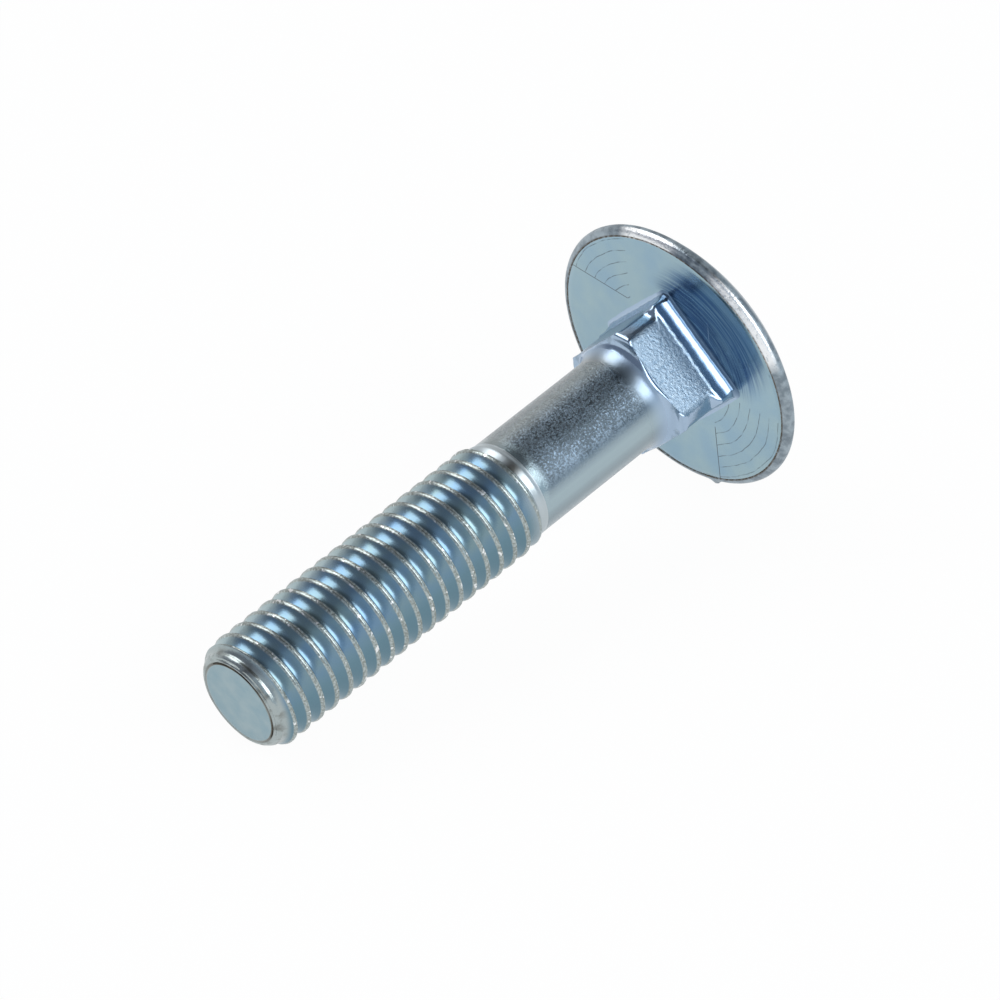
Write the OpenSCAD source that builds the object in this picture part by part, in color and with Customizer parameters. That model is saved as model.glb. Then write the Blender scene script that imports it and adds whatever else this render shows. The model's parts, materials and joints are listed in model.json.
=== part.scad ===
// Carriage bolt: mushroom head, square neck, reduced shank and a rolled thread, forged as one piece.
// Units are millimetres. The bolt is drawn upright on its end face and then laid down to rest.

/* [Head] */
// Diameter over the rim of the head
head_d = 20; // [18:0.1:22]
// Height from the bearing face to the crown
head_h = 4.4; // [3.8:0.1:5]
// Radius that rounds the rim
rim_r = 0.5; // [0.3:0.05:0.7]

/* [Square neck] */
// Width across the flats
neck_w = 7.9; // [7.4:0.1:8.5]
// Depth from the bearing face to the foot of the flats
neck_depth = 4.5; // [3.8:0.1:5.6]
// Depth of the band beside the head, where the metal fills the die's corners
band_depth = 1.3; // [0.8:0.1:2]
// Diameter over the filled corners of the band
band_corner_d = 11; // [10.6:0.1:11.4]
// Diameter over the rounded corners below the band
neck_corner_d = 10; // [9.4:0.1:10.4]
// Length over which the rounded corners fill out to the band
fill_len = 0.6; // [0.3:0.1:1]
// Radius of the fillet between the flats and the bearing face
neck_fillet_r = 0.4; // [0.2:0.05:0.6]

/* [Shank] */
// Length from the end face to the bearing face
length = 40.5; // [36:0.5:80]
// Diameter of the plain shank, which is the size that the thread is rolled from
shank_d = 7.1; // [6.9:0.05:7.3]
// Radius of the fillet that flares the shank out to the neck
flare_r = 1; // [0.6:0.1:1.2]

/* [Thread] */
// Diameter over the crests
thread_d = 7.9; // [7.7:0.05:8]
// Diameter in the root
root_d = 6.45; // [6.3:0.05:6.6]
// Axial distance from crest to crest
pitch = 1.25; // [1:0.05:1.5]
// Length from the end face to the last trace of the groove
thread_len = 24.5; // [20:0.5:26]
// Length over which the groove fades into the shank
runout_len = 2.6; // [1.5:0.1:3]
// Share of the pitch that the crest's flat takes
crest_share = 0.12; // [0.08:0.01:0.2]
// Share of the pitch that the rounded root takes
root_share = 0.24; // [0.16:0.01:0.3]
// Angle at which the thread starts
start_angle = 264; // [0:1:359]

/* [Point] */
// Diameter of the flat end face
end_d = 5.9; // [5:0.1:6.2]
// Length of the bevel round the end face
point_len = 0.45; // [0.3:0.05:0.8]
// Diameter of the lip that rolling leaves at the end of the bevel
lip_d = 6.9; // [6.7:0.05:7.2]
// Length over which the lip falls to the root
lip_len = 0.7; // [0.4:0.1:1]

/* [Resting] */
// Angle between the neck's flats and the plane that the bolt leans in
neck_turn = 45; // [0:5:90]

/* [Hidden] */

$fn = 96;
turn_steps = 32;
rim_steps = 8;
dome_steps = 16;
flare_steps = 8;
fillet_steps = 3;
// The thread's end rings stay this much inside the round faces that they meet
ring_inset = 0.02;
// Height of the rounded root's edge, as a share of the thread's depth
root_edge_rise = 0.08;

// Head: the bearing face ends at flat_r, and a sphere closes the rim's arc
flat_r = head_d / 2 - rim_r;
rim_z = length + rim_r;
rim_to_crown = head_h - rim_r;
dome_r = (pow(rim_to_crown, 2) + pow(flat_r, 2) - pow(rim_r, 2)) / (2 * (rim_to_crown - rim_r));
dome_z = length + head_h - dome_r;
dome_edge_angle = atan2(rim_z - dome_z, flat_r);

// Neck: the band meets the head, and the flare's shoulder meets the flats
neck_z = length - neck_depth;
flare_z = neck_z - flare_r;
band_z = length - band_depth;
shank_r = shank_d / 2;
core_r = end_d / 2 - 0.3;

// Thread: one pitch of profile, from one root's middle to the next
profile = [[0, 0], [root_share / 2, root_edge_rise], [(1 - crest_share) / 2, 1],
           [(1 + crest_share) / 2, 1], [1 - root_share / 2, root_edge_rise]];
rows = len(profile);
steps = turn_steps + round((thread_len - point_len) / pitch * turn_steps);
last_turn = steps - turn_steps;
thread_end = point_len + pitch * last_turn / turn_steps;
fade_start = thread_end - runout_len;
start_ring_r = lip_d / 2 - ring_inset;
end_ring_r = shank_r - ring_inset;

function ease(t) = let(c = min(1, max(0, t))) c * c * (3 - 2 * c);
function mix(a, b, t) = a + (b - a) * t;

// Radius in the root and over the crest at height z
function root_r(z) = mix(mix(start_ring_r, root_d / 2, ease((z - point_len) / lip_len)),
                         end_ring_r, ease((z - fade_start) / runout_len));
function crest_r(z) = mix(thread_d / 2, end_ring_r, ease((z - fade_start) / runout_len));

// Along the helix the ridge grows out of the first ring over one turn,
// keeps its width, and shrinks into the last ring over one turn
function row_low(u) = point_len + pitch * max(0, u - turn_steps) / turn_steps;
function row_high(u) = point_len + pitch * min(u, last_turn) / turn_steps;
function growth(u) = min(1, u / turn_steps, (steps - u) / turn_steps);
function thread_point(u, share, rise) =
    let(z = mix(row_low(u), row_high(u), share),
        root = root_r(z),
        r = root + max(0, crest_r(z) - root) * rise * growth(u),
        a = start_angle + 360 * u / turn_steps)
    [r * cos(a), r * sin(a), z];

// Points in order: the first ring, the ridge's rows, the helix between the turns, and the last ring
ridge_first = turn_steps;
helix_first = ridge_first + (steps - 1) * (rows - 1);
ring_first = helix_first + steps - turn_steps - 1;
thread_points = concat(
    [for (u = [0:turn_steps - 1]) thread_point(u, 0, 0)],
    [for (u = [1:steps - 1], k = [1:rows - 1]) thread_point(u, profile[k][0], profile[k][1])],
    [for (u = [turn_steps + 1:steps - 1]) thread_point(u, 0, 0)],
    [for (u = [last_turn:steps - 1]) thread_point(u, 1, 0)]);

function ring_index(u) = ring_first + (u - last_turn) % turn_steps;
function low_index(u) =
    u <= turn_steps ? u % turn_steps : u < steps ? helix_first + u - turn_steps - 1 : ring_index(u);
function point_index(u, k) =
    u == 0 ? 0 : u == steps ? ring_index(u) : k == 0 ? low_index(u)
    : k < rows ? ridge_first + (u - 1) * (rows - 1) + k - 1
    : u < last_turn ? low_index(u + turn_steps) : ring_index(u);

thread_faces = concat(
    [for (u = [0:steps - 2], k = [0:rows - 1])
        [point_index(u, k), point_index(u + 1, k + 1), point_index(u + 1, k)]],
    [for (u = [1:steps - 1], k = [0:rows - 1])
        [point_index(u, k), point_index(u, k + 1), point_index(u + 1, k + 1)]],
    [[for (u = [0:turn_steps - 1]) u]],
    [[for (u = [turn_steps - 1:-1:0]) ring_first + u]]);

// Resting: the floor touches one crest near the point and the rim of the head.
// Local +X points down, so a thread point's X is how far it reaches to the floor.
function lean_over(p) =
    let(run = rim_z - p.z, rise = flat_r - p.x) atan2(rise, run) + asin(rim_r / norm([run, rise]));
lean = min([for (p = thread_points) if (p.z < thread_len / 2) lean_over(p)]);
lift = flat_r * cos(lean) + rim_r - rim_z * sin(lean);
reach_head = dome_z * cos(lean) + dome_r;
reach_end = -end_d / 2 * sin(lean);

function arc(centre, r, from, to, count) =
    [for (i = [0:count]) let(a = mix(from, to, i / count)) centre + r * [cos(a), sin(a)]];

module mushroom_head() {
    rotate_extrude()
        polygon(concat([[0, length]],
                       arc([flat_r, rim_z], rim_r, -90, dome_edge_angle, rim_steps),
                       [for (i = [1:dome_steps - 1])
                           let(a = mix(dome_edge_angle, 90, i / dome_steps))
                           [dome_r * cos(a), dome_z + dome_r * sin(a)]],
                       [[0, length + head_h]]));
}

// The shank flares out to a neck that stays round at its corners
// and fills out to the band beside the head
module turned_blank() {
    rotate_extrude()
        polygon(concat([[0, thread_end], [shank_r, thread_end]],
                       arc([shank_r + flare_r, flare_z], flare_r, 180, 90, flare_steps),
                       [[neck_corner_d / 2, neck_z], [neck_corner_d / 2, band_z - fill_len],
                        [band_corner_d / 2, band_z], [band_corner_d / 2, length], [0, length]]));
}

// The flats of the neck are wider than the shank, so they cut nothing from it
module shank_and_neck() {
    intersection() {
        translate([-neck_w / 2, -neck_w / 2, thread_end])
            cube([neck_w, neck_w, length - thread_end]);
        turned_blank();
    }
}

// A hollow fillet made of a few bevelled steps, each wider than the one below
module neck_fillet() {
    function spread(i) = neck_fillet_r * (1 - cos(90 * i / fillet_steps));
    function drop(i) = neck_fillet_r * (1 - sin(90 * i / fillet_steps));
    for (i = [0:fillet_steps - 1]) {
        low_w = neck_w + 2 * spread(i);
        high_w = neck_w + 2 * spread(i + 1);
        translate([0, 0, length - drop(i)])
            linear_extrude(height = drop(i) - drop(i + 1), scale = high_w / low_w)
                square(low_w, center = true);
    }
}

// The core runs through the whole bolt, so that its forms join as one solid
module core() {
    translate([0, 0, point_len / 2])
        cylinder(r = core_r, h = length + (head_h - point_len) / 2);
}

module rolled_thread() {
    polyhedron(points = thread_points, faces = thread_faces, convexity = 10);
}

module bevelled_point() {
    cylinder(d1 = end_d, d2 = lip_d, h = point_len);
}

module bolt() {
    mushroom_head();
    rotate(neck_turn) {
        shank_and_neck();
        neck_fillet();
    }
    core();
    rolled_thread();
    bevelled_point();
}

module carriage_bolt() {
    color("#9DB0BC")
        translate([-(reach_head + reach_end) / 2, 0, lift])
            rotate([0, 90 - lean, 0])
                bolt();
}

carriage_bolt();
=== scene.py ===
import json
import math

import bmesh
import bpy
import numpy as np
from mathutils import Matrix, Quaternion, Vector


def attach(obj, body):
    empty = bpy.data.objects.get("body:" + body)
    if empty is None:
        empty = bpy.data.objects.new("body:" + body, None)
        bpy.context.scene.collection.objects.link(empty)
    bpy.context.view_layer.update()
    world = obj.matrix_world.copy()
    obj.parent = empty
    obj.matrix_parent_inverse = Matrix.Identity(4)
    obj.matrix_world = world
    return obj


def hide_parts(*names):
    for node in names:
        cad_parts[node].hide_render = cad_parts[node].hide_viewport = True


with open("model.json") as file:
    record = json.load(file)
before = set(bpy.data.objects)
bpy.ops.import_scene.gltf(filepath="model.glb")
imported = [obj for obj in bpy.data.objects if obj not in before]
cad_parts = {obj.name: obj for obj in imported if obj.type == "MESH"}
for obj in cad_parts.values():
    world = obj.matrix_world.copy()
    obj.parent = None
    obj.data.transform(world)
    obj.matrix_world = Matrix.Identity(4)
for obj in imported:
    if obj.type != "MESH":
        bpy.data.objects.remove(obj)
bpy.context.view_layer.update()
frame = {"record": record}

# Sizes in millimetres, as in the part's source
MM = 0.001
LENGTH = 40.5
HEAD_R = 10.0
HEAD_H = 4.4
RIM_R = 0.5
NECK_W = 7.9
NECK_DEPTH = 4.5
BAND_DEPTH = 1.3
BAND_CORNER_R = 5.5
NECK_CORNER_R = 5.0
FILL_LEN = 0.6
SHANK_R = 3.55
FLARE_R = 1.0
CREST_R = 3.95
PITCH = 1.25
POINT_LEN = 0.45
THREAD_END = POINT_LEN + 19.25 * PITCH
LIP_R = 3.45
LIP_LEN = 0.7
END_R = 2.95
# Finer than the source: a long flare, a sharp fillet, a short run-out and wide shallow roots
FLARE_LEN = 1.5
NECK_FILLET_R = 0.38
RUNOUT_LEN = 1.4
ROOT_R = 3.44
# The ridge leans a little towards the head, so its crest is past the middle of the pitch,
# and the start is turned on by as much to keep the crests where the source has them
CREST_PLACE = 0.5 + 23 / 96
START_ANGLE = 264.0 + 360 * (CREST_PLACE - 0.5)

FLAT_R = HEAD_R - RIM_R
NECK_Z = LENGTH - NECK_DEPTH
FLARE_Z = NECK_Z - FLARE_LEN
BAND_Z = LENGTH - BAND_DEPTH
RIM_TO_CROWN = HEAD_H - RIM_R
DOME_R = (RIM_TO_CROWN**2 + FLAT_R**2 - RIM_R**2) / (2 * (RIM_TO_CROWN - RIM_R))
DOME_Z = LENGTH + HEAD_H - DOME_R
DOME_EDGE = math.atan2(LENGTH + RIM_R - DOME_Z, FLAT_R)

# Columns of the turned mesh, and steps of one turn of the thread, which both rings share
COLUMNS = 288
THREAD_STEPS = 96
THREAD_ROWS = 28

# The bolt's own frame: z runs along the axis from the end face, and x points down to the floor
mounts = {m["name"]: m for m in frame["record"]["mounts"]}
axis = -Vector(mounts["bearing_face"]["axis"]).normalized()
tip = Vector(mounts["thread"]["pos_m"])
down = Vector((axis.z, 0, -axis.x))
side = axis.cross(down)
to_world = Matrix((down, side, axis)).transposed().to_4x4() @ Matrix.Scale(MM, 4)
to_world.translation = tip


def srgb(text):
    """A hex colour as linear values."""
    values = [int(text[i:i + 2], 16) / 255 for i in (1, 3, 5)]
    return [v / 12.92 if v <= 0.04045 else ((v + 0.055) / 1.055) ** 2.4 for v in values] + [1.0]


def add(tree, kind, inputs=None, **settings):
    """Adds a node with its settings; an input takes a value, a socket, or a node's first output."""
    node = tree.nodes.new(kind)
    for name, value in settings.items():
        setattr(node, name, value)
    for key, value in (inputs or {}).items():
        if isinstance(value, bpy.types.Node):
            value = next(output for output in value.outputs if output.enabled)
        if isinstance(value, bpy.types.NodeSocket):
            tree.links.new(value, node.inputs[key])
        else:
            node.inputs[key].default_value = value
    return node


def off(tree, value, middle):
    """How far a value is from a middle, to either side."""
    return add(tree, "ShaderNodeMath",
               {0: add(tree, "ShaderNodeMath", {0: value, 1: middle}, operation="SUBTRACT")},
               operation="ABSOLUTE")


def towards(tree, place, direction, limits, **settings):
    """A share that changes with how far out a place lies in one direction."""
    reach = add(tree, "ShaderNodeVectorMath", {0: place, 1: direction}, operation="DOT_PRODUCT")
    return add(tree, "ShaderNodeMapRange", {0: reach, **limits}, **settings)


# ---- Materials: zinc plate with a pale blue passivation, over forged, drawn and rolled steel ----

# Bolt coordinates in millimetres, with the distance from the axis and the angle round it
bolt_space = bpy.data.node_groups.new("bolt_space", "ShaderNodeTree")
for name, kind in (("Place", "NodeSocketVector"), ("Radius", "NodeSocketFloat"),
                   ("Along", "NodeSocketFloat"), ("Angle", "NodeSocketFloat"),
                   ("X", "NodeSocketFloat"), ("Y", "NodeSocketFloat")):
    bolt_space.interface.new_socket(name=name, in_out="OUTPUT", socket_type=kind)
coordinates = add(bolt_space, "ShaderNodeTexCoord")
placed = add(bolt_space, "ShaderNodeMapping",
             {"Vector": coordinates.outputs["Object"], "Location": tip,
              "Rotation": to_world.to_euler(), "Scale": (MM, MM, MM)}, vector_type="TEXTURE")
parts = add(bolt_space, "ShaderNodeSeparateXYZ", {0: placed})
from_axis = add(bolt_space, "ShaderNodeCombineXYZ", {0: parts.outputs["X"], 1: parts.outputs["Y"]})
add(bolt_space, "NodeGroupOutput",
    {"Place": placed, "Along": parts.outputs["Z"], "X": parts.outputs["X"], "Y": parts.outputs["Y"],
     "Radius": add(bolt_space, "ShaderNodeVectorMath", {0: from_axis}, operation="LENGTH"),
     "Angle": add(bolt_space, "ShaderNodeMath", {0: parts.outputs["Y"], 1: parts.outputs["X"]},
                  operation="ARCTAN2")})

# The side of the neck where shade and a dark reflection are painted into the plating's colour: a direction
# across the axis
PAINTED_SHADE_SIDE = (-0.743, -0.669, 0.0)


def new_material(name):
    """An empty material, its tree, and the bolt's coordinates in it."""
    material = bpy.data.materials.new(name)
    material.use_nodes = True
    tree = material.node_tree
    tree.nodes.clear()
    return material, tree, add(tree, "ShaderNodeGroup", node_tree=bolt_space).outputs


def coat(tree, colour, roughness, bump):
    """The metal itself, with its colour, its roughness and its fine relief."""
    metal = add(tree, "ShaderNodeBsdfPrincipled",
                {"Metallic": 1.0, "Base Color": colour, "Roughness": roughness, "Normal": bump})
    add(tree, "ShaderNodeOutputMaterial", {"Surface": metal})


def drawn_zinc_shank():
    """Zinc plated drawn wire: crystals a few tenths of a millimetre across break up the reflections."""
    material, tree, space = new_material("zinc_plated_drawn_shank")
    place, along = space["Place"], space["Along"]
    cloud = add(tree, "ShaderNodeTexNoise", {"Vector": place, "Scale": 0.5, "Detail": 2.0})
    warp = add(tree, "ShaderNodeTexNoise", {"Vector": place, "Scale": 2.0, "Detail": 1.0})
    shift = add(tree, "ShaderNodeVectorMath", {0: warp.outputs["Color"], "Scale": 0.3}, operation="SCALE")
    bent = add(tree, "ShaderNodeVectorMath", {0: place, 1: shift}, operation="ADD")
    grain = add(tree, "ShaderNodeTexNoise",
                {"Vector": bent, "Scale": 6.5, "Detail": 4.0, "Roughness": 0.7})
    height = add(tree, "ShaderNodeMapRange", {0: grain, 1: 0.38, 2: 0.66}, interpolation_type="SMOOTHSTEP")
    # The flare beside the neck is forged, so it's smooth; the drawing die rubbed one side of the
    # wire smooth, and the rollers the collar beside the thread
    drawn = add(tree, "ShaderNodeMapRange", {0: along, 1: FLARE_Z - 0.7, 2: FLARE_Z + 0.3, 3: 1.0, 4: 0.12})
    rubbed = add(tree, "ShaderNodeMapRange", {0: space["Y"], 1: -2.9, 2: -3.3})
    collar = add(tree, "ShaderNodeMapRange", {0: along, 1: THREAD_END + 1.0, 2: THREAD_END + 0.3})
    smooth = add(tree, "ShaderNodeMath", {0: rubbed, 1: collar}, operation="MAXIMUM")
    kept = add(tree, "ShaderNodeMapRange", {0: smooth, 3: 1.0, 4: 0.2})
    rugged = add(tree, "ShaderNodeMath", {0: drawn, 1: kept}, operation="MULTIPLY")
    # Patches several millimetres across, and painted shade: one darker streak along the wire on a fixed side
    patch = add(tree, "ShaderNodeMapRange", {0: cloud, 1: 0.35, 2: 0.65, 3: -0.2, 4: 0.2})
    patched = add(tree, "ShaderNodeMath", {0: height, 1: patch}, operation="ADD")
    streak_and_painted_shade = towards(tree, place, (-0.906, -0.423, 0.0), {1: 3.15, 2: 3.5, 3: 0.0, 4: 0.3})
    with_painted_shade = add(tree, "ShaderNodeMath", {0: patched, 1: streak_and_painted_shade}, operation="SUBTRACT")
    shade = add(tree, "ShaderNodeMapRange", {0: rugged, 3: 0.5, 4: with_painted_shade})
    colour = add(tree, "ShaderNodeMix", {0: shade, 6: srgb("#606C74"), 7: srgb("#98AABA")},
                 data_type="RGBA")
    # Painted light and shade: one side of the wire is painted paler and its edge greyer, and the far side a
    # paler grey; the collar beside the thread is paler, and the zinc is bluer at the neck
    painted_light_side = (0.5, -0.866, 0.0)
    pale = add(tree, "ShaderNodeMath",
               {0: towards(tree, place, painted_light_side, {1: 1.9, 2: 2.7}), 1: collar}, operation="MAXIMUM")
    edge = towards(tree, place, painted_light_side, {1: 3.05, 2: 3.4})
    far = towards(tree, place, (-0.819, 0.574, 0.0), {1: 2.7, 2: 3.3, 4: 0.75})
    bluer = add(tree, "ShaderNodeMapRange", {0: along, 1: FLARE_Z - 0.1, 2: NECK_Z - 0.1},
                interpolation_type="SMOOTHSTEP")
    for share, paint in ((pale, "#A5B7BE"), (edge, "#909FA6"), (far, "#9CA3A3"), (bluer, "#A7BCD2")):
        colour = add(tree, "ShaderNodeMix", {0: share, 6: colour, 7: srgb(paint)}, data_type="RGBA")
    # The flare is duller than the wire, so it spreads the lamps
    wire = add(tree, "ShaderNodeMapRange", {0: cloud, 1: 0.3, 2: 0.7, 3: 0.18, 4: 0.26})
    flared = add(tree, "ShaderNodeMapRange", {0: along, 1: FLARE_Z - 0.6, 2: FLARE_Z + 0.5, 4: 0.1})
    rough = add(tree, "ShaderNodeMath", {0: wire, 1: flared}, operation="ADD")
    coat(tree, colour, rough,
         add(tree, "ShaderNodeBump", {"Strength": rugged, "Distance": 0.016 * MM, "Height": height}))
    return material


def rolled_zinc_thread():
    """Zinc plated rolled thread: the rollers leave bright blue roots and flanks, and torn grey crests."""
    material, tree, space = new_material("zinc_plated_rolled_thread")
    place, along, radius = space["Place"], space["Along"], space["Radius"]
    cloud = add(tree, "ShaderNodeTexNoise", {"Vector": place, "Scale": 0.5, "Detail": 3.0})
    grit = add(tree, "ShaderNodeTexNoise", {"Vector": place, "Scale": 7.0, "Detail": 2.0})
    fleck = add(tree, "ShaderNodeTexNoise", {"Vector": place, "Scale": 2.4, "Detail": 1.0})
    # Blue roots, painted paler on the far side as painted light, and a little darker and greener on the near
    # side as painted shade; the last turn turns grey towards the shank, and the lip round the end is a smooth
    # pale grey
    far_side = (-0.643, 0.766, 0.0)
    far = towards(tree, place, far_side, {1: 2.9, 2: 3.6, 4: 0.8})
    near = towards(tree, place, far_side, {1: -1.4, 2: -2.5})
    last = add(tree, "ShaderNodeMapRange", {0: along, 1: THREAD_END - 1.9, 2: THREAD_END - 0.5},
               interpolation_type="SMOOTHSTEP")
    lip = add(tree, "ShaderNodeMapRange", {0: along, 1: 1.0, 2: 0.6}, interpolation_type="SMOOTHSTEP")
    root = add(tree, "ShaderNodeMix",
               {0: add(tree, "ShaderNodeMapRange", {0: cloud, 1: 0.35, 2: 0.65}),
                6: srgb("#708FA9"), 7: srgb("#7D969D")}, data_type="RGBA")
    for share, paint in ((far, "#AFC0C1"), (near, "#6B8A98"), (last, "#BCC6CA"), (lip, "#A9B3B3")):
        root = add(tree, "ShaderNodeMix", {0: share, 6: root, 7: srgb(paint)}, data_type="RGBA")
    # Grey, gritty crests with bright flecks, which are painted glints
    crest = add(tree, "ShaderNodeMix",
                {0: add(tree, "ShaderNodeMapRange", {0: grit, 1: 0.4, 2: 0.6}),
                 6: srgb("#939A96"), 7: srgb("#B6C0BF")}, data_type="RGBA")
    crest = add(tree, "ShaderNodeMix",
                {0: add(tree, "ShaderNodeMapRange", {0: fleck, 1: 0.66, 2: 0.7}),
                 6: crest, 7: srgb("#F1F3F3")}, data_type="RGBA")
    torn = add(tree, "ShaderNodeMapRange", {0: radius, 1: CREST_R - 0.15, 2: CREST_R - 0.08},
               interpolation_type="SMOOTHSTEP")
    metal = add(tree, "ShaderNodeMix", {0: torn, 6: root, 7: crest}, data_type="RGBA")
    # Brown scale stays in the groove round the end face, most on the side that sheared last,
    # in patches on the lip, and in one small stain where the thread runs out
    groove = add(tree, "ShaderNodeMapRange", {0: off(tree, radius, END_R - 0.02), 1: 0.13, 2: 0.05})
    deep = towards(tree, place, (-0.766, -0.643, 0.0), {1: -1.5, 2: 1.0, 3: 0.35, 4: 1.0})
    filled = add(tree, "ShaderNodeMath", {0: groove, 1: deep}, operation="MULTIPLY")
    patches = add(tree, "ShaderNodeTexNoise", {"Vector": place, "Scale": 1.2, "Detail": 3.0})
    scaly = add(tree, "ShaderNodeMapRange", {0: patches, 1: 0.5, 2: 0.64, 4: 0.55})
    near_end = add(tree, "ShaderNodeMapRange", {0: along, 1: 0.9, 2: 0.4})
    on_end = add(tree, "ShaderNodeMath",
                 {0: add(tree, "ShaderNodeMath", {0: filled, 1: scaly}, operation="MAXIMUM"),
                  1: near_end}, operation="MULTIPLY")
    off_stain = add(tree, "ShaderNodeVectorMath", {0: place, 1: (-3.29, -1.46, THREAD_END - 0.75)},
                    operation="DISTANCE")
    stained = add(tree, "ShaderNodeMapRange", {0: off_stain, 1: 0.75, 2: 0.2, 4: 0.8})
    brown = add(tree, "ShaderNodeMath", {0: on_end, 1: stained}, operation="MAXIMUM")
    colour = add(tree, "ShaderNodeMix", {0: brown, 6: metal, 7: srgb("#57534A")}, data_type="RGBA")
    burred = add(tree, "ShaderNodeMapRange", {0: torn, 3: 0.2, 4: 1.0})
    coat(tree, colour, add(tree, "ShaderNodeMapRange", {0: last, 3: 0.24, 4: 0.36}),
         add(tree, "ShaderNodeBump", {"Strength": burred, "Distance": 0.014 * MM, "Height": grit}))
    return material


def forged_zinc_neck():
    """Zinc plated die-forged neck: dull mottled flats inside bright edges, where the die rubbed."""
    material, tree, space = new_material("zinc_plated_forged_neck")
    place, along = space["Place"], space["Along"]
    turned = add(tree, "ShaderNodeVectorRotate", {"Vector": place, "Angle": math.radians(45)},
                 rotation_type="Z_AXIS")
    flat = add(tree, "ShaderNodeSeparateXYZ", {0: turned})
    # How far a point is from the middle line of its own flat, and from the dull patch's middle height
    off_middle = add(tree, "ShaderNodeMath",
                     {0: off(tree, flat.outputs["X"], 0.0), 1: off(tree, flat.outputs["Y"], 0.0)},
                     operation="MINIMUM")
    off_height = off(tree, along, NECK_Z + 1.6)
    # A rounded rectangle: the excess over its half sizes, measured round the corner
    excess = []
    for value, half in ((off_middle, 2.2), (off_height, 0.75)):
        past = add(tree, "ShaderNodeMath", {0: value, 1: half}, operation="SUBTRACT")
        excess.append(add(tree, "ShaderNodeMath", {0: past, 1: 0.0}, operation="MAXIMUM"))
    reach = add(tree, "ShaderNodeVectorMath",
                {0: add(tree, "ShaderNodeCombineXYZ", {0: excess[0], 1: excess[1]})}, operation="LENGTH")
    uneven = add(tree, "ShaderNodeTexNoise", {"Vector": place, "Scale": 2.2, "Detail": 3.0})
    wobble = add(tree, "ShaderNodeMapRange", {0: uneven, 3: -0.22, 4: 0.22})
    matte = add(tree, "ShaderNodeMapRange",
                {0: add(tree, "ShaderNodeMath", {0: reach, 1: wobble}, operation="ADD"), 1: 1.0, 2: 0.82},
                interpolation_type="SMOOTHSTEP")
    grain = add(tree, "ShaderNodeTexNoise",
                {"Vector": place, "Scale": 4.5, "Detail": 3.0, "Roughness": 0.65})
    dull = add(tree, "ShaderNodeMix",
               {0: add(tree, "ShaderNodeMapRange", {0: grain, 1: 0.35, 2: 0.65}),
                6: srgb("#849BB0"), 7: srgb("#A6B9C9")}, data_type="RGBA")
    metal = add(tree, "ShaderNodeMix", {0: matte, 6: srgb("#A7BCD2"), 7: dull}, data_type="RGBA")
    # On one side the corner with the bearing face is darkened: painted shade standing for the shadow in the
    # fillet
    corner = add(tree, "ShaderNodeMapRange", {0: along, 1: LENGTH - 0.42, 2: LENGTH - 0.3})
    beside = towards(tree, place, PAINTED_SHADE_SIDE, {1: 3.2, 2: 4.0, 4: 0.85})
    painted_shade = add(tree, "ShaderNodeMath", {0: corner, 1: beside}, operation="MULTIPLY")
    colour = add(tree, "ShaderNodeMix", {0: painted_shade, 6: metal, 7: srgb("#45607C")}, data_type="RGBA")
    pitted = add(tree, "ShaderNodeMapRange", {0: matte, 3: 0.2, 4: 1.0})
    coat(tree, colour, add(tree, "ShaderNodeMapRange", {0: matte, 3: 0.17, 4: 0.34}),
         add(tree, "ShaderNodeBump", {"Strength": pitted, "Distance": 0.03 * MM, "Height": grain}))
    return material


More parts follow.
